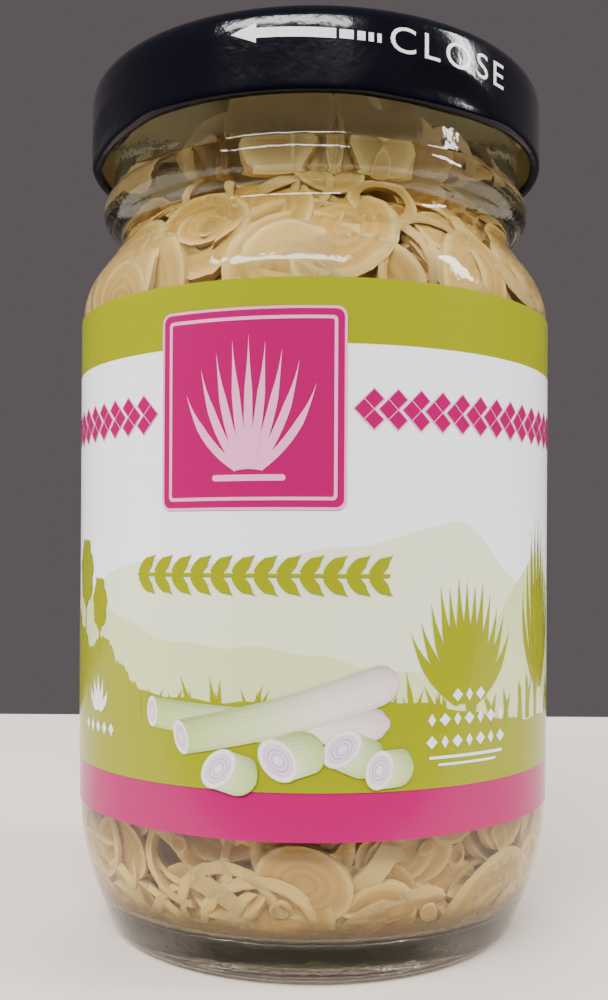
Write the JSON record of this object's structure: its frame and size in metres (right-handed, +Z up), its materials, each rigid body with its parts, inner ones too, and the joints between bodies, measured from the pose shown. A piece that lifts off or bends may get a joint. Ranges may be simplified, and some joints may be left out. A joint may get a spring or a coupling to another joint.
{
  "type": "glass jar of sliced lemongrass",
  "caption": "Small glass jar of sliced lemongrass in brine, with a wrap-round label and a lacquered twist-off lid.",
  "frame": {"origin": "centre of the base, on the surface that the jar stands on", "axes": "+Z up along the jar's axis, with the front of the label facing -Y and +X to the right of it"},
  "size_m": [0.0632, 0.063, 0.1109],
  "materials": {
    "jar_glass": "polished",
    "label_film": "gloss",
    "lemongrass": "satin",
    "lid_lacquer": "gloss",
    "gasket_compound": "matte"
  },
  "bodies": {
    "jar": {"jar": "jar_glass", "label": "label_film", "lemongrass_slices": "lemongrass"},
    "seal": {"lid_gasket": "gasket_compound"},
    "lid": {"lid_shell": "lid_lacquer"}
  },
  "joints": [
    {"name": "lid_rise", "type": "slide", "parent": "jar", "child": "seal", "axis": [0, 0, 1], "range_m": [0, 0.00152]},
    {"name": "lid_turn", "type": "hinge", "parent": "seal", "child": "lid", "pos_m": [0, 0, 0.105], "axis": [0, 0, 1], "range_deg": [0, 65]}
  ],
  "couplings": [
    {"joint": "lid_rise", "follows": "lid_turn", "m_per_rad": 0.0013369}
  ]
}
